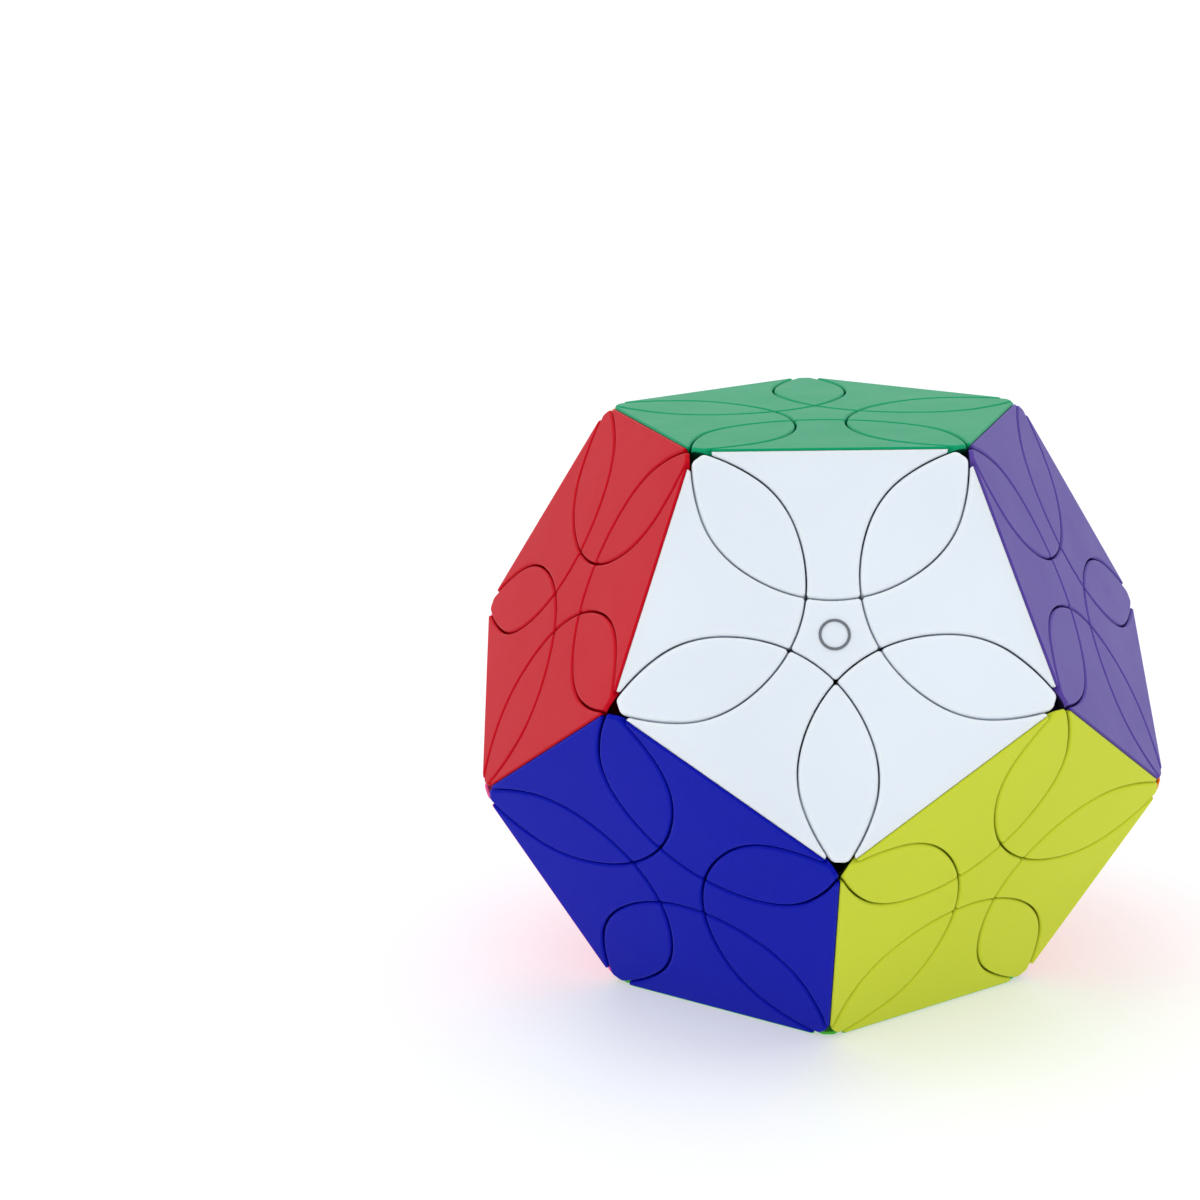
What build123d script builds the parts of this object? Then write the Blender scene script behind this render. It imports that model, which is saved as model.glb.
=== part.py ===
"""Edge-turning dodecahedron puzzle.

Twelve flat faces. Every one of the thirty edges turns about the line from the
middle of the ball through the edge's own midpoint. Each turning cut is a surface
of revolution about that line, so a turned group stays clear of its neighbours at
every angle. Three layers share the ball's centre: a hollow core, the petals' feet
that slide on it, and the outer pieces that hold the feet down.

The origin is the middle of the core, +Z points out of the dark green face, and
the light green face opposite is the one it stands on.
"""
from build123d import *
import math
import os

# ---------------------------------------------------------------- driving sizes, mm
EDGE_LENGTH = 33.0            # corner to corner along one dodecahedron edge
CUT_HALF_ANGLE = 25.1         # half angle of the cone under each turning cut, degrees
NECK_TAPER = 5.7              # inward lean of the cut above its shoulder, degrees
SHOULDER_RADIUS = 6.0         # rounding between cone and neck
FOOT_HALF_ANGLE = 27.5        # wider cone that the petals' feet fill, degrees
CUT_GAP = 0.2                 # gap between two neighbouring pieces
LAYER_GAP = 0.3               # radial gap between core, feet and outer pieces

SKIN_DEPTH = 4.5              # thickness of the coloured shells
SEAM_GAP = 0.1                # gap between the two colours of an edge piece
PETAL_TIP_CUT = 1.2           # how far a petal's tip stops short of the corner
EDGE_TIP_CUT = 2.4            # how far an edge piece's tips stop short of the corners
RIM_RADIUS = 0.35             # rounding along the shells' outer rims
RIDGE_BEVEL = 0.35            # bevel where an edge piece's two colours meet
PETAL_TIP_RADIUS = 0.9
EDGE_TIP_RADIUS = 0.4
INNER_TIP_RADIUS = 0.4        # all the tips that meet round a centre piece

CORE_RADIUS = 19.0
CORE_HOLLOW_RADIUS = 11.0
FOOT_HEIGHT = 6.2             # radial height of the petals' feet

STALK_PLAY = 0.35             # room between the post of an edge piece and the feet beside it
CUP_FLOOR = 1.8               # floor of the pocket for screw head, washer and spring
CUP_PLAY = 0.5                # radial room round the washer in its pocket

SCREW_RADIUS = 1.0
SCREW_PLAY = 0.3              # radial room round the screw in the post
SCREW_HEAD_RADIUS = 1.9
SCREW_HEAD_HEIGHT = 1.4
SCREW_HEAD_COVER = 0.5        # room between screw head and coloured shells
SCREW_GRIP = 6.0              # length of screw inside the core
DRIVER_SLOT_WIDTH = 0.6
DRIVER_SLOT_DEPTH = 0.7
WASHER_PLAY = 0.2             # radial room round the screw in the washer
WASHER_OVERHANG = 0.3         # how far the washer covers past the spring
WASHER_THICKNESS = 0.4
SPRING_PLAY = 0.6             # radial room between screw and spring
SPRING_WIRE = 0.5             # thickness of the spring's wire
SPRING_GROOVE_RADIUS = 0.3    # hollows between the turns
SPRING_TURNS = 5
SPRING_END_GAP = 0.1

STEM_PLAY = 0.27              # room between the stem of a centre piece and the feet round it
STEM_GRIP = 5.0               # length of stem inside the core
FIT_CLEARANCE = 0.02          # radial, screws and stems in the core

# ---------------------------------------------------------------- dodecahedron geometry
FACE_DISTANCE = EDGE_LENGTH * math.sqrt(250 + 110 * math.sqrt(5)) / 20
EDGE_DISTANCE = EDGE_LENGTH * (3 + math.sqrt(5)) / 4
CORNER_DISTANCE = EDGE_LENGTH * math.sqrt(3) * (1 + math.sqrt(5)) / 4
FACE_CORNER_RADIUS = math.sqrt(CORNER_DISTANCE**2 - FACE_DISTANCE**2)

FACE_TILT = math.degrees(math.atan(2))                                  # face to next face
FACE_TO_EDGE = FACE_TILT / 2
FACE_TO_CORNER = math.degrees(math.acos(FACE_DISTANCE / CORNER_DISTANCE))
CORNER_TO_EDGE = math.degrees(math.acos(EDGE_DISTANCE / CORNER_DISTANCE))
FACE_TO_FAR_EDGE = FACE_TO_CORNER + CORNER_TO_EDGE                      # third edge at a corner
EDGE_TO_EDGE = math.degrees(math.acos((1 + math.sqrt(5)) / 4))          # two edges at a corner

HALF_GAP = CUT_GAP / 2
FOOT_BOTTOM_RADIUS = CORE_RADIUS + LAYER_GAP
FOOT_TOP_RADIUS = FOOT_BOTTOM_RADIUS + FOOT_HEIGHT
OUTER_BOTTOM_RADIUS = FOOT_TOP_RADIUS + LAYER_GAP
STALK_RADIUS = FOOT_BOTTOM_RADIUS * math.sin(math.radians(EDGE_TO_EDGE - FOOT_HALF_ANGLE)) - STALK_PLAY
STEM_RADIUS = FOOT_BOTTOM_RADIUS * math.sin(math.radians(FACE_TO_EDGE - FOOT_HALF_ANGLE)) - STEM_PLAY
SPRING_INNER_RADIUS = SCREW_RADIUS + SPRING_PLAY
SPRING_OUTER_RADIUS = SPRING_INNER_RADIUS + SPRING_WIRE
WASHER_RADIUS = SPRING_OUTER_RADIUS + WASHER_OVERHANG
CUP_RADIUS = WASHER_RADIUS + CUP_PLAY
CUP_BOTTOM = OUTER_BOTTOM_RADIUS + CUP_FLOOR
SHELL_UNDERSIDE = EDGE_DISTANCE - SKIN_DEPTH / math.cos(math.radians(FACE_TO_EDGE))
SCREW_HEAD_TOP = SHELL_UNDERSIDE - SCREW_HEAD_RADIUS * math.tan(math.radians(FACE_TO_EDGE)) - SCREW_HEAD_COVER
SCREW_HEAD_SEAT = SCREW_HEAD_TOP - SCREW_HEAD_HEIGHT
WASHER_SEAT = SCREW_HEAD_SEAT - WASHER_THICKNESS
BEYOND = 2 * CORNER_DISTANCE                                            # past every surface

FACE_COLOURS = ["dark_green", "white", "purple", "sky_blue", "cream", "red",
                "light_green", "grey", "pink", "blue", "yellow", "orange"]
TURNING_PAIRS = [("white", "purple"), ("purple", "sky_blue"), ("sky_blue", "cream"),
                 ("cream", "red"), ("red", "white"),
                 ("grey", "pink"), ("pink", "blue"), ("blue", "yellow"),
                 ("yellow", "orange"), ("orange", "grey")]


def direction(tilt, azimuth):
    """Unit vector at an angle from +Z and an angle round it from +X, in degrees."""
    t, a = math.radians(tilt), math.radians(azimuth)
    return Vector(math.sin(t) * math.cos(a), math.sin(t) * math.sin(a), math.cos(t))


def frame_along(z_axis, towards):
    """Plane at the origin with its Z along z_axis and its X leaning towards a direction."""
    z = z_axis.normalized()
    return Plane(origin=(0, 0, 0), x_dir=towards - z * towards.dot(z), z_dir=z)


# ---------------------------------------------------------------- turning cuts
def turning_cut(grow):
    """Solid of revolution that one edge group turns in, grown outwards by grow."""
    cone = math.radians(CUT_HALF_ANGLE)
    neck = math.radians(NECK_TAPER)
    apex = -grow / math.sin(cone)
    corner_r = EDGE_LENGTH / 2 + grow * math.cos(neck)
    corner_z = EDGE_DISTANCE + grow * math.sin(neck)
    meet = corner_r + corner_z * math.tan(neck) + apex * math.tan(cone)
    shoulder_z = meet / (math.tan(cone) + math.tan(neck))
    shoulder_r = (shoulder_z - apex) * math.tan(cone)
    top = CORNER_DISTANCE
    top_r = corner_r - (top - corner_z) * math.tan(neck)
    outline = make_face(Polyline((0, apex), (shoulder_r, shoulder_z), (top_r, top), (0, top), close=True))
    shoulder = outline.vertices().sort_by(Axis.X)[-1]
    outline = fillet(shoulder, SHOULDER_RADIUS + grow)
    return revolve(Plane.XZ * outline, Axis.Z)


def foot_outline(grow):
    """Half section of the plain cone that an edge group turns in at the feet's level."""
    cone = math.radians(FOOT_HALF_ANGLE)
    apex = -grow / math.sin(cone)
    top_r = (CORNER_DISTANCE - apex) * math.tan(cone)
    return make_face(Polyline((0, apex), (top_r, CORNER_DISTANCE), (0, CORNER_DISTANCE), close=True))


def foot_layer():
    """The stretch of the feet's cone between the core and the outer pieces."""
    layer = foot_outline(-HALF_GAP) & (Circle(FOOT_TOP_RADIUS) - Circle(FOOT_BOTTOM_RADIUS))
    return revolve(Plane.XZ * layer, Axis.Z)


INSIDE_CUT = turning_cut(-HALF_GAP)
OUTSIDE_CUT = turning_cut(HALF_GAP)
INSIDE_FOOT = revolve(Plane.XZ * foot_outline(-HALF_GAP), Axis.Z)
OUTSIDE_FOOT = revolve(Plane.XZ * foot_outline(HALF_GAP), Axis.Z)
FOOT_LAYER = foot_layer()


def aimed(solid, axis):
    """Copy of a solid of revolution about Z, stood on another axis, its seam on the side away from +Z."""
    seam_side = Vector(0, 0, -1) if abs(axis.Z) < 0.999 else Vector(1, 0, 0)
    return frame_along(axis, seam_side) * solid


def face_slab(depth_from, depth_to, radius):
    """Disc under a face whose normal is +Z, between two depths below its surface."""
    bottom = Plane.XY.offset(FACE_DISTANCE - depth_to)
    return extrude(bottom * Circle(radius), depth_to - depth_from)


def half_space(origin, outward):
    """Large block that starts at a point and fills the side its normal points to."""
    return Plane(origin=origin, z_dir=outward) * Pos(0, 0, BEYOND / 2) * Box(2 * BEYOND, 2 * BEYOND, BEYOND)


def upright_edges(solid, low_x, high_x, low_y=0.0):
    """Edges that drop from the face plane, at a distance in X and at least low_y from the X axis."""
    found = []
    for edge in solid.edges():
        first, last = edge @ 0, edge @ 1
        top, low = (first, last) if first.Z > last.Z else (last, first)
        drops = top.Z > FACE_DISTANCE - 0.001 and low.Z < FACE_DISTANCE - 0.3
        if drops and low_x < top.X < high_x and abs(top.Y) >= low_y and edge.length < 2 * SKIN_DEPTH:
            found.append(edge)
    return found


def rim_edges(solid):
    """Edges of the flat top of a shell whose face normal is +Z."""
    return solid.faces().filter_by(GeomType.PLANE).sort_by(Axis.Z)[-1].edges()


# ---------------------------------------------------------------- petals
def petal_axes():
    """The two edges whose cuts shape a petal, and the third edge at its corner."""
    left = direction(FACE_TO_EDGE, 36)
    right = direction(FACE_TO_EDGE, -36)
    return left, right, direction(FACE_TO_FAR_EDGE, 0)


def petal_shell():
    """Coloured lens between a face corner, towards +X, and the centre piece."""
    left, right, far = petal_axes()
    shell = face_slab(0, SKIN_DEPTH, CORNER_DISTANCE) & aimed(INSIDE_CUT, left)
    shell = (shell & aimed(INSIDE_CUT, right)) - aimed(OUTSIDE_CUT, far)
    shell -= half_space((FACE_CORNER_RADIUS - PETAL_TIP_CUT, 0, 0), (1, 0, 0))
    shell = fillet(upright_edges(shell, FACE_CORNER_RADIUS / 2, FACE_CORNER_RADIUS), PETAL_TIP_RADIUS)
    inner = [e for e in upright_edges(shell, 0, FACE_CORNER_RADIUS / 2) if abs((e @ 0).Y) < 0.01]
    shell = fillet(inner, INNER_TIP_RADIUS)
    return fillet(rim_edges(shell), RIM_RADIUS)


def petal_foot():
    """Black foot under a petal shell: a column, and a wider base that slides on the core."""
    left, right, far = petal_axes()
    column = face_slab(SKIN_DEPTH, FACE_DISTANCE / 2, CORNER_DISTANCE) & aimed(INSIDE_CUT, left)
    column = (column & aimed(INSIDE_CUT, right)) - aimed(OUTSIDE_CUT, far) - Sphere(FOOT_TOP_RADIUS)
    base = aimed(FOOT_LAYER, left) & aimed(INSIDE_FOOT, right)
    return column + (base - aimed(OUTSIDE_FOOT, far))


# ---------------------------------------------------------------- edge pieces
def edge_shell():
    """Coloured half of an edge piece. The face normal is +Z and its edge lies towards +X."""
    own = direction(FACE_TO_EDGE, 0)
    shell = face_slab(0, SKIN_DEPTH, CORNER_DISTANCE) & aimed(INSIDE_CUT, own)
    for side in (1, -1):
        shell -= aimed(OUTSIDE_CUT, direction(FACE_TO_EDGE, 72 * side))
        shell -= aimed(OUTSIDE_CUT, direction(FACE_TO_FAR_EDGE, 36 * side))
        shell -= half_space((0, side * (EDGE_LENGTH / 2 - EDGE_TIP_CUT), 0), (0, side, 0))
    tilt = math.radians(FACE_TO_EDGE)
    across = Vector(math.cos(tilt), 0, -math.sin(tilt))
    shell -= half_space(across * (-SEAM_GAP / 2), across)
    tip_x = FACE_DISTANCE * math.tan(tilt)
    tips = upright_edges(shell, tip_x * 0.8, tip_x - 0.2, EDGE_LENGTH / 2 - EDGE_TIP_CUT - 0.01)
    shell = fillet(tips, EDGE_TIP_RADIUS)
    inner = [e for e in upright_edges(shell, 0, tip_x / 2) if e.geom_type != GeomType.CIRCLE]
    shell = fillet(inner, INNER_TIP_RADIUS)
    rims = [e for e in rim_edges(shell) if abs(e.tangent_at(0.5).Y) < 0.999]
    shell = fillet(rims, RIM_RADIUS)
    return shell - half_space((tip_x - RIDGE_BEVEL, 0, FACE_DISTANCE), across + Vector(0, 0, 1))


def edge_frame():
    """Black body of an edge piece on +Z, its edge along X: block, post and spring pocket."""
    block = INSIDE_CUT - Sphere(OUTER_BOTTOM_RADIUS)
    for side in (1, -1):
        normal = direction(FACE_TO_EDGE, 90 * side)
        block -= half_space(normal * (FACE_DISTANCE - SKIN_DEPTH), normal)
        block -= half_space((side * (EDGE_LENGTH / 2 - EDGE_TIP_CUT), 0, 0), (side, 0, 0))
        corner = direction(CORNER_TO_EDGE, 90 - 90 * side)
        for turn in (120, -120):
            block -= aimed(OUTSIDE_CUT, direction(0, 0).rotate(Axis((0, 0, 0), corner), turn))
    post_height = CUP_BOTTOM - FOOT_BOTTOM_RADIUS
    post = Pos(0, 0, FOOT_BOTTOM_RADIUS + post_height / 2) * Cylinder(STALK_RADIUS, post_height)
    cup = Pos(0, 0, CUP_BOTTOM + BEYOND / 2) * Cylinder(CUP_RADIUS, BEYOND)
    bore = Pos(0, 0, BEYOND / 2) * Cylinder(SCREW_RADIUS + SCREW_PLAY, BEYOND)
    return block + post - cup - bore


# ---------------------------------------------------------------- centres and core
def centre_piece():
    """Fixed pentagon with hollow sides on a stem, its face normal +Z, a corner towards +X."""
    body = face_slab(0, FACE_DISTANCE - 0.9 * OUTER_BOTTOM_RADIUS, FACE_CORNER_RADIUS / 3)
    for k in range(5):
        body -= aimed(OUTSIDE_CUT, direction(FACE_TO_EDGE, 36 + 72 * k))
    body = fillet(body.edges().filter_by(GeomType.BSPLINE), INNER_TIP_RADIUS)
    body -= Sphere(OUTER_BOTTOM_RADIUS)
    body = fillet(rim_edges(body), RIM_RADIUS)
    stem_low = CORE_RADIUS - STEM_GRIP
    stem_height = FACE_DISTANCE - SKIN_DEPTH - stem_low
    return body + Pos(0, 0, stem_low + stem_height / 2) * Cylinder(STEM_RADIUS, stem_height)


def core_halves(face_normals, edge_axes):
    """Hollow ball split at its equator, with blind holes for thirty screws and twelve stems."""
    ball = Sphere(CORE_RADIUS) - Sphere(CORE_HOLLOW_RADIUS)
    depth = SCREW_GRIP + FIT_CLEARANCE
    screw_hole = Pos(0, 0, CORE_RADIUS - depth + BEYOND / 2) * Cylinder(SCREW_RADIUS + FIT_CLEARANCE, BEYOND)
    depth = STEM_GRIP + FIT_CLEARANCE
    stem_hole = Pos(0, 0, CORE_RADIUS - depth + BEYOND / 2) * Cylinder(STEM_RADIUS + FIT_CLEARANCE, BEYOND)
    ball -= [aimed(screw_hole, axis) for axis in edge_axes]
    ball -= [aimed(stem_hole, normal) for normal in face_normals]
    upper = ball - half_space((0, 0, 0), (0, 0, -1))
    lower = ball - half_space((0, 0, 0), (0, 0, 1))
    return upper, lower


# ---------------------------------------------------------------- screw, washer, spring on +Z
def screw():
    """Pan-head screw that an edge piece turns on, with a cross slot."""
    low = CORE_RADIUS - SCREW_GRIP
    length = SCREW_HEAD_SEAT - low
    head = Pos(0, 0, SCREW_HEAD_SEAT + SCREW_HEAD_HEIGHT / 2) * Cylinder(SCREW_HEAD_RADIUS, SCREW_HEAD_HEIGHT)
    head = fillet(head.edges().sort_by(Axis.Z)[-1], SCREW_HEAD_HEIGHT / 3)
    for turn in (0, 90):
        slot = Box(SCREW_HEAD_RADIUS, DRIVER_SLOT_WIDTH, 2 * DRIVER_SLOT_DEPTH)
        head -= Pos(0, 0, SCREW_HEAD_TOP) * Rot(0, 0, turn) * slot
    return head + Pos(0, 0, low + length / 2) * Cylinder(SCREW_RADIUS, length)


def washer():
    """Flat steel ring under the screw head."""
    ring = Cylinder(WASHER_RADIUS, WASHER_THICKNESS) - Cylinder(SCREW_RADIUS + WASHER_PLAY, WASHER_THICKNESS)
    return Pos(0, 0, WASHER_SEAT + WASHER_THICKNESS / 2) * ring


def spring():
    """Compression spring between the pocket's floor and the washer, as the sleeve its coils fill."""
    low = CUP_BOTTOM + SPRING_END_GAP
    height = WASHER_SEAT - SPRING_END_GAP - low
    sleeve = Cylinder(SPRING_OUTER_RADIUS, height) - Cylinder(SPRING_INNER_RADIUS, height)
    pitch = height / SPRING_TURNS
    for k in range(1, SPRING_TURNS):
        sleeve -= Pos(0, 0, k * pitch - height / 2) * Torus(SPRING_OUTER_RADIUS, SPRING_GROOVE_RADIUS)
    return Pos(0, 0, low + height / 2) * sleeve


# ---------------------------------------------------------------- assembly
def face_normals():
    """Outward normals, in the order of FACE_COLOURS; the last six face the first six."""
    upper = [direction(0, 0)] + [direction(FACE_TILT, -90 + 72 * k) for k in range(5)]
    return upper + [normal * -1 for normal in upper]


def touching(first, second):
    """True for the normals of two faces that share an edge."""
    return abs(first.get_angle(second) - FACE_TILT) < 1


def write_node(name, solids):
    """One STEP file, named after its node."""
    shape = Compound(list(solids)) if len(solids) > 1 else solids[0]
    export_step(shape, f"parts/{name}.step", write_pcurves=False)


def build():
    os.makedirs("parts", exist_ok=True)
    normals = dict(zip(FACE_COLOURS, face_normals()))
    shell, foot, half, frame = petal_shell(), petal_foot(), edge_shell(), edge_frame()
    turning = {frozenset(pair): "_".join(pair) for pair in TURNING_PAIRS}
    nodes = {}

    def add(node, shape):
        nodes.setdefault(node, []).extend(shape.solids())

    edge_axes = []
    for i, one in enumerate(FACE_COLOURS):
        for other in FACE_COLOURS[i + 1:]:
            if not touching(normals[one], normals[other]):
                continue
            pair = turning.get(frozenset((one, other)))
            axis = (normals[one] + normals[other]).normalized()
            edge_axes.append(axis)
            along = normals[one].cross(normals[other])
            add(f"turn_{pair}_frame" if pair else "fixed_frames", frame_along(axis, along) * frame)
            for colour in (one, other):
                seat = frame_along(normals[colour], axis)
                add(f"turn_{pair}_{colour}" if pair else f"fixed_{colour}", seat * half)

    for colour, normal in normals.items():
        ring = [c for c in FACE_COLOURS if c != colour and touching(normal, normals[c])]
        for i, left in enumerate(ring):
            for right in ring[i + 1:]:
                if not touching(normals[left], normals[right]):
                    continue
                corner = (normal + normals[left] + normals[right]).normalized()
                seat = frame_along(normal, corner)
                owners = [turning.get(frozenset((colour, c))) for c in (left, right)]
                pair = owners[0] or owners[1]
                add(f"turn_{pair}_{colour}" if pair else f"fixed_{colour}", seat * shell)
                add(f"turn_{pair}_frame" if pair else "fixed_frames", seat * foot)

    middle = centre_piece()
    for colour, normal in normals.items():
        neighbours = [c for c in FACE_COLOURS if c != colour and touching(normal, normals[c])]
        second = next(c for c in neighbours[1:] if touching(normals[c], normals[neighbours[0]]))
        corner = normal + normals[neighbours[0]] + normals[second]
        add(f"centre_{colour}", frame_along(normal, corner) * middle)

    upper, lower = core_halves(normals.values(), edge_axes)
    add("core_upper", upper)
    add("core_lower", lower)
    for name, piece in (("edge_screws", screw()), ("edge_washers", washer()), ("edge_springs", spring())):
        for axis in edge_axes:
            add(name, aimed(piece, axis))

    for name, solids in nodes.items():
        write_node(name, solids)


build()
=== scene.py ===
import math

import bpy
from mathutils import Matrix, Vector


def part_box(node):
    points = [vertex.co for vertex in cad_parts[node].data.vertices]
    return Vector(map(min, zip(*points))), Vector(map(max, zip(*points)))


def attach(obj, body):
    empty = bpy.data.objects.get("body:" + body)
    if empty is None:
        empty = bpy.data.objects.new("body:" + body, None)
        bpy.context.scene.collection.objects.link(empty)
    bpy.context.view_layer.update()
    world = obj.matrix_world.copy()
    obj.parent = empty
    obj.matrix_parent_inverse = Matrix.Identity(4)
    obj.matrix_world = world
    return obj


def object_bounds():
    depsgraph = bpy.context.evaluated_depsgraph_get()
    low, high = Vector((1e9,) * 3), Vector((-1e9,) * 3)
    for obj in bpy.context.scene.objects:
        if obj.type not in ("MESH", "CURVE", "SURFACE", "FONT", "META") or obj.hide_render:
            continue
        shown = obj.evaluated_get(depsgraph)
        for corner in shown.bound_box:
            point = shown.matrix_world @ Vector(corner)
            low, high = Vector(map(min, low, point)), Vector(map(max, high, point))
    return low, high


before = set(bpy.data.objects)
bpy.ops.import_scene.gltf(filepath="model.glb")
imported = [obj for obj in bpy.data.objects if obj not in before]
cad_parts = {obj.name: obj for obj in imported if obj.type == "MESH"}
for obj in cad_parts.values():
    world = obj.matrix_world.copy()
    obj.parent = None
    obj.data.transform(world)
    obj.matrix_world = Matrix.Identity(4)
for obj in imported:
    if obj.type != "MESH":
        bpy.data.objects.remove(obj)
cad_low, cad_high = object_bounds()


# ---------------------------------------------------------------- hollow core
# The ball in the middle, two halves of glass-filled nylon with a blind hole for
# every screw and stem. Matt black, with the fine grain of a spark-eroded mould.
class Wire:
    """A shader value on its way through a material; sums and products add the nodes."""

    def __init__(self, nodes, links, value=None):
        self.nodes, self.links, self.value = nodes, links, value

    def node(self, kind, settings=None, outlet=0, **inputs):
        """Adds any node: settings first, then values or wires for its named sockets."""
        made = self.nodes.new(kind)
        for name, value in (settings or {}).items():
            setattr(made, name, value)
        for name, value in inputs.items():
            key = int(name[1:]) if name[0] == "_" else name.replace("_", " ")
            socket = made.inputs[key]
            if isinstance(value, Wire):
                self.links.new(value.value, socket)
            else:
                socket.default_value = value
        return Wire(self.nodes, self.links, made.outputs[outlet])

    def maths(self, operation, first, second):
        return self.node("ShaderNodeMath", {"operation": operation}, _0=first, _1=second)

    def __add__(self, other):
        return self.maths("ADD", self, other)

    def __sub__(self, other):
        return self.maths("SUBTRACT", self, other)

    def __rsub__(self, other):
        return self.maths("SUBTRACT", other, self)

    def __mul__(self, other):
        return self.maths("MULTIPLY", self, other)

    __radd__ = __add__
    __rmul__ = __mul__


def new_material(name):
    """An empty material, its wire end, its shader and the piece's own coordinates."""
    material = bpy.data.materials.new(name)
    material.use_nodes = True
    tree = material.node_tree
    wire = Wire(tree.nodes, tree.links)
    shader = tree.nodes["Principled BSDF"]
    place = wire.node("ShaderNodeTexCoord", outlet="Object")
    return material, wire, shader, place


def dress(material, *node_names):
    """Gives a material to whole CAD pieces."""
    for name in node_names:
        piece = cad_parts[name]
        piece.data.materials.clear()
        piece.data.materials.append(material)


CLOUD_SCALE = 90.0
CLOUD_PALENESS = 2.2


def hard_black(name, colour, roughness, grain_size, grain_depth):
    """Unpainted black engineering plastic with a mould grain and slightly paler clouds."""
    material, wire, shader, place = new_material(name)
    grain = wire.node("ShaderNodeTexNoise", Vector=place, Scale=1 / grain_size, Detail=3.0)
    cloud = wire.node("ShaderNodeTexNoise", Vector=place, Scale=CLOUD_SCALE, Detail=2.0)
    paler = tuple(CLOUD_PALENESS * c for c in colour)
    tint = wire.node("ShaderNodeMix", {"data_type": "RGBA"}, outlet=2, _0=cloud * 0.6,
                     _6=(*colour, 1), _7=(*paler, 1))
    wire.links.new(tint.value, shader.inputs["Base Color"])
    wire.links.new((roughness + (cloud - 0.5) * 0.2).value, shader.inputs["Roughness"])
    bump = wire.node("ShaderNodeBump", Strength=0.35, Distance=grain_depth, Height=grain)
    wire.links.new(bump.value, shader.inputs["Normal"])
    return material


CORE_BLACK = (0.012, 0.012, 0.013)
CORE_ROUGHNESS = 0.62
CORE_GRAIN_SIZE = 0.0003
CORE_GRAIN_DEPTH = 0.00004
core_plastic = hard_black("core_plastic", CORE_BLACK, CORE_ROUGHNESS, CORE_GRAIN_SIZE,
                          CORE_GRAIN_DEPTH)
dress(core_plastic, "core_upper", "core_lower")


# ---------------------------------------------------------------- screws, washers, springs
# Thirty pan-head steel screws hold the edge pieces to the core, each through a
# washer and a coil spring. Zinc plated, with fine marks from turning and a patina.
BRIGHT_ZINC = (0.55, 0.56, 0.58, 1)
WARM_ZINC = (0.72, 0.71, 0.68, 1)
PATINA_SCALE = 160.0
TURNING_SCALE = 2500.0
TURNING_DEPTH = 0.00002


def plated_steel():
    """Plated metal whose tint and gloss follow a cloudy patina."""
    material, wire, shader, place = new_material("plated_steel")
    marks = wire.node("ShaderNodeTexNoise", Vector=place, Scale=TURNING_SCALE, Detail=4.0)
    patina = wire.node("ShaderNodeTexNoise", Vector=place, Scale=PATINA_SCALE, Detail=3.0)
    tint = wire.node("ShaderNodeMix", {"data_type": "RGBA"}, outlet=2, _0=patina,
                     _6=BRIGHT_ZINC, _7=WARM_ZINC)
    wire.links.new(tint.value, shader.inputs["Base Color"])
    wire.links.new((0.22 + patina * 0.16).value, shader.inputs["Roughness"])
    bump = wire.node("ShaderNodeBump", Strength=0.2, Distance=TURNING_DEPTH, Height=marks)
    wire.links.new(bump.value, shader.inputs["Normal"])
    shader.inputs["Metallic"].default_value = 1.0
    return material


dress(plated_steel(), "edge_screws", "edge_washers", "edge_springs")


# ---------------------------------------------------------------- black frames and feet
# The inner half of every edge piece and petal, moulded in black polyacetal that
# slides on itself. Smoother than the core, with faint flow marks.
FRAME_BLACK = (0.008, 0.008, 0.009)
FRAME_ROUGHNESS = 0.4
FLOW_MARK_SIZE = 0.0005
FLOW_MARK_DEPTH = 0.00002
inner_plastic = hard_black("inner_plastic", FRAME_BLACK, FRAME_ROUGHNESS, FLOW_MARK_SIZE,
                           FLOW_MARK_DEPTH)
black_pieces = [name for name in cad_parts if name.endswith(("_frame", "_frames"))]
dress(inner_plastic, *black_pieces)


# ---------------------------------------------------------------- coloured shells
# Petal shells, edge shells and centre pieces, moulded in through-coloured plastic
# with a satin skin. The colour is in the plastic, so it wraps over every rim, and
# the pale ones let a little light through, which softens their grooves.
PALE_COLOURS = ("white", "cream")
PALE_GLOW = 0.7
DEEP_GLOW = 0.15
GLOW_DEPTH = 0.0015
DRIFT_SCALE = 28.0
HAZE_SCALE = 140.0
SATIN_ROUGHNESS = 0.27
HAZE_ROUGHNESS = 0.14
WAVE_SCALE = 60.0
WAVE_DEPTH = 0.00025
GRAIN_SCALE = 3200.0
GRAIN_DEPTH = 0.000012
PLASTIC_IOR = 1.52
PLASTIC_SHEEN = 0.055


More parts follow.
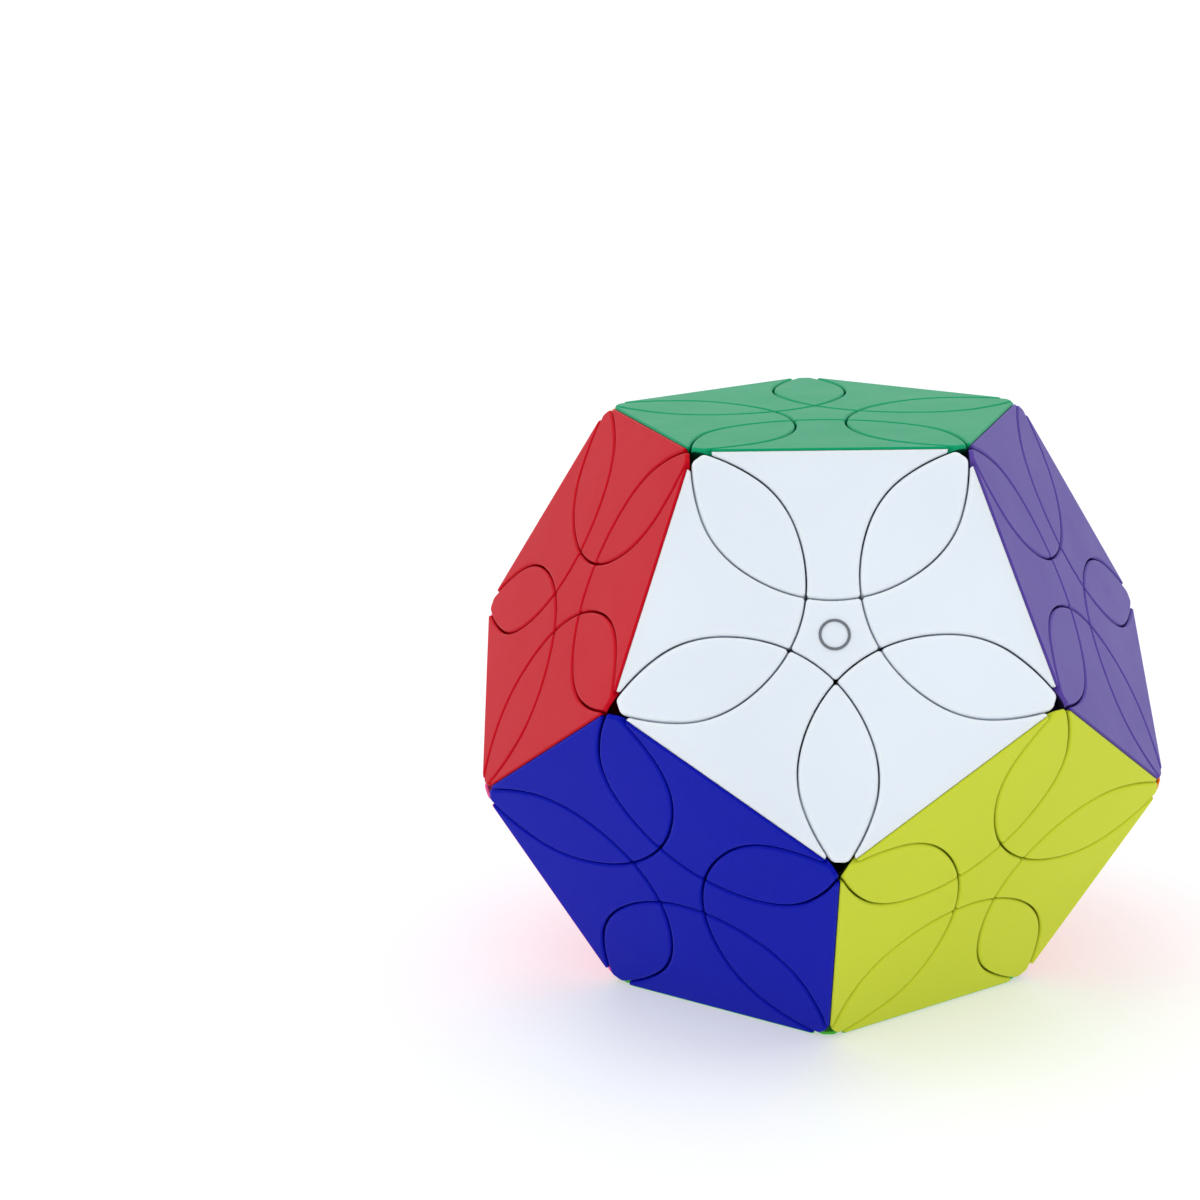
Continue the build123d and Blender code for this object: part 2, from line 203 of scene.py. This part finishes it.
def coloured_plastic(colour, rgb):
    """Satin moulded plastic: slight colour drift, soft wear haze, shallow waves and fine grain."""
    material, wire, shader, place = new_material(f"{colour}_plastic")
    drift = wire.node("ShaderNodeTexNoise", Vector=place, Scale=DRIFT_SCALE, Detail=2.0)
    haze = wire.node("ShaderNodeTexNoise", Vector=place, Scale=HAZE_SCALE, Detail=5.0, Roughness=0.6)
    grain = wire.node("ShaderNodeTexNoise", Vector=place, Scale=GRAIN_SCALE, Detail=2.0)
    waves = wire.node("ShaderNodeTexNoise", Vector=place, Scale=WAVE_SCALE, Detail=1.0)
    deeper = tuple(0.9 * c for c in rgb)
    lighter = tuple(min(1.0, 1.03 * c + 0.002) for c in rgb)
    tint = wire.node("ShaderNodeMix", {"data_type": "RGBA"}, outlet=2, _0=drift,
                     _6=(*deeper, 1), _7=(*lighter, 1))
    wire.links.new(tint.value, shader.inputs["Base Color"])
    wire.links.new((SATIN_ROUGHNESS + haze * HAZE_ROUGHNESS).value, shader.inputs["Roughness"])
    soft = wire.node("ShaderNodeBump", Strength=0.25, Distance=WAVE_DEPTH, Height=waves)
    fine = wire.node("ShaderNodeBump", Strength=0.18, Distance=GRAIN_DEPTH, Height=grain, Normal=soft)
    wire.links.new(fine.value, shader.inputs["Normal"])
    glow = PALE_GLOW if colour in PALE_COLOURS else DEEP_GLOW
    shader.inputs["IOR"].default_value = PLASTIC_IOR
    shader.inputs["Specular IOR Level"].default_value = PLASTIC_SHEEN
    shader.inputs["Subsurface Weight"].default_value = glow
    shader.inputs["Subsurface Radius"].default_value = rgb
    shader.inputs["Subsurface Scale"].default_value = GLOW_DEPTH
    return material


shell_colours = {
    "dark_green": (0.002, 0.32, 0.135),
    "white": (0.765, 0.82, 0.875),
    "purple": (0.095, 0.055, 0.315),
    "sky_blue": (0.10, 0.42, 0.80),
    "cream": (0.82, 0.70, 0.42),
    "red": (0.53, 0.0, 0.01),
    "light_green": (0.08, 0.52, 0.05),
    "grey": (0.20, 0.21, 0.22),
    "pink": (0.83, 0.10, 0.30),
    "blue": (0.0, 0.005, 0.375),
    "yellow": (0.58, 0.65, 0.035),
    "orange": (0.83, 0.18, 0.006),
}
for colour, rgb in shell_colours.items():
    # "sky_blue" also ends in "_blue", so names of longer colours are left to those.
    ending = "_" + colour
    longer = tuple("_" + other for other in shell_colours if other.endswith(ending))
    shells = [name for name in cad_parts
              if name.startswith(("centre_", "fixed_", "turn_"))
              and name.endswith(ending) and not name.endswith(longer)]
    dress(coloured_plastic(colour, rgb), *shells)


# ---------------------------------------------------------------- maker's mark
# A plain ring printed in grey ink on the white centre piece, a few hundredths of
# a millimetre thick, where a maker would pad-print a badge.
MARK_RADIUS = 0.0019
MARK_WIDTH = 0.00035
MARK_THICKNESS = 0.00003
DARK_INK = (0.10, 0.11, 0.13, 1)
PALE_INK = (0.16, 0.17, 0.19, 1)
face_distance = -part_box("centre_light_green")[0].z
face_tilt = math.atan(2)


def deselect_all():
    if bpy.context.mode != "OBJECT":
        bpy.ops.object.mode_set(mode="OBJECT")
    bpy.ops.object.select_all(action="DESELECT")


SPECKLE_SCALE = 5000.0


def grey_ink():
    """Flat grey ink with a fine speckle."""
    material, wire, shader, place = new_material("grey_ink")
    speckle = wire.node("ShaderNodeTexNoise", Vector=place, Scale=SPECKLE_SCALE, Detail=2.0)
    tint = wire.node("ShaderNodeMix", {"data_type": "RGBA"}, outlet=2, _0=speckle,
                     _6=DARK_INK, _7=PALE_INK)
    wire.links.new(tint.value, shader.inputs["Base Color"])
    wire.links.new((0.4 + speckle * 0.1).value, shader.inputs["Roughness"])
    return material


deselect_all()
bpy.ops.mesh.primitive_circle_add(vertices=72, radius=MARK_RADIUS, fill_type="NGON")
mark = bpy.context.object
mark.name = "printed_ring"
bpy.ops.object.mode_set(mode="EDIT")
bpy.ops.mesh.select_all(action="SELECT")
bpy.ops.mesh.inset(thickness=MARK_WIDTH)
bpy.ops.mesh.delete(type="FACE")
bpy.ops.mesh.select_all(action="SELECT")
bpy.ops.mesh.extrude_region_move(TRANSFORM_OT_translate={"value": (0, 0, MARK_THICKNESS)})
bpy.ops.mesh.select_all(action="SELECT")
bpy.ops.mesh.normals_make_consistent(inside=False)
bpy.ops.object.mode_set(mode="OBJECT")
mark.matrix_world = Matrix.Rotation(face_tilt, 4, "X") @ Matrix.Translation((0, 0, face_distance))
bpy.ops.object.transform_apply(location=True, rotation=True, scale=True)
mark.data.materials.append(grey_ink())
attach(mark, "ball")


# ---------------------------------------------------------------- table, light and camera
# A pale lit-from-below table, as small products are shown on, soft light from
# above and the left, and a camera that looks slightly down on the white face.
TABLE_SIZE = 14.0
TABLE_GLOW = 0.42
TABLE_GREY = (0.57, 0.58, 0.59, 1)
TABLE_PALE_GREY = (0.60, 0.61, 0.62, 1)
GLOW_COLOUR = (0.98, 0.99, 1.0, 1)
ROOM_COLOUR = (0.97, 0.98, 1.0, 1)
CAMERA_PLACE = (-0.02367, -0.35716, 0.10342)
CAMERA_TURN = (75.732, 0.792, 0.487)
CAMERA_LENS = 85.5


def pale_table():
    """Matt pale grey that glows from within."""
    material, wire, shader, place = new_material("pale_table")
    cloud = wire.node("ShaderNodeTexNoise", Vector=place, Scale=3.0, Detail=2.0)
    tint = wire.node("ShaderNodeMix", {"data_type": "RGBA"}, outlet=2, _0=cloud,
                     _6=TABLE_GREY, _7=TABLE_PALE_GREY)
    wire.links.new(tint.value, shader.inputs["Base Color"])
    shader.inputs["Roughness"].default_value = 0.7
    shader.inputs["Emission Color"].default_value = GLOW_COLOUR
    shader.inputs["Emission Strength"].default_value = TABLE_GLOW
    return material


deselect_all()
bpy.ops.mesh.primitive_plane_add(size=TABLE_SIZE, location=(0, 0, cad_low.z))
table = bpy.context.object
table.name = "table"
table.data.materials.append(pale_table())

bpy.context.scene.view_settings.view_transform = "Standard"
world = bpy.data.worlds.new("studio")
bpy.context.scene.world = world
world.use_nodes = True
room_light = world.node_tree.nodes["Background"]
room_light.inputs["Color"].default_value = ROOM_COLOUR
room_light.inputs["Strength"].default_value = 1.0


def soft_light(name, place, size, watts, colour):
    """A square softbox aimed at the puzzle."""
    light = bpy.data.lights.new(name, "AREA")
    light.size, light.energy, light.color = size, watts, colour
    lamp = bpy.data.objects.new(name, light)
    bpy.context.scene.collection.objects.link(lamp)
    lamp.location = place
    lamp.rotation_euler = (-Vector(place)).to_track_quat("-Z", "Y").to_euler()


soft_light("top_softbox", (-0.15, -0.1, 0.95), 0.5, 1.3, (1.0, 0.99, 0.97))
soft_light("left_softbox", (-0.8, -0.55, 0.45), 0.4, 0.5, (0.97, 0.98, 1.0))

camera_data = bpy.data.cameras.new("camera")
camera_data.lens = CAMERA_LENS
camera = bpy.data.objects.new("camera", camera_data)
bpy.context.scene.collection.objects.link(camera)
camera.location = CAMERA_PLACE
camera.rotation_euler = [math.radians(angle) for angle in CAMERA_TURN]
bpy.context.scene.camera = camera
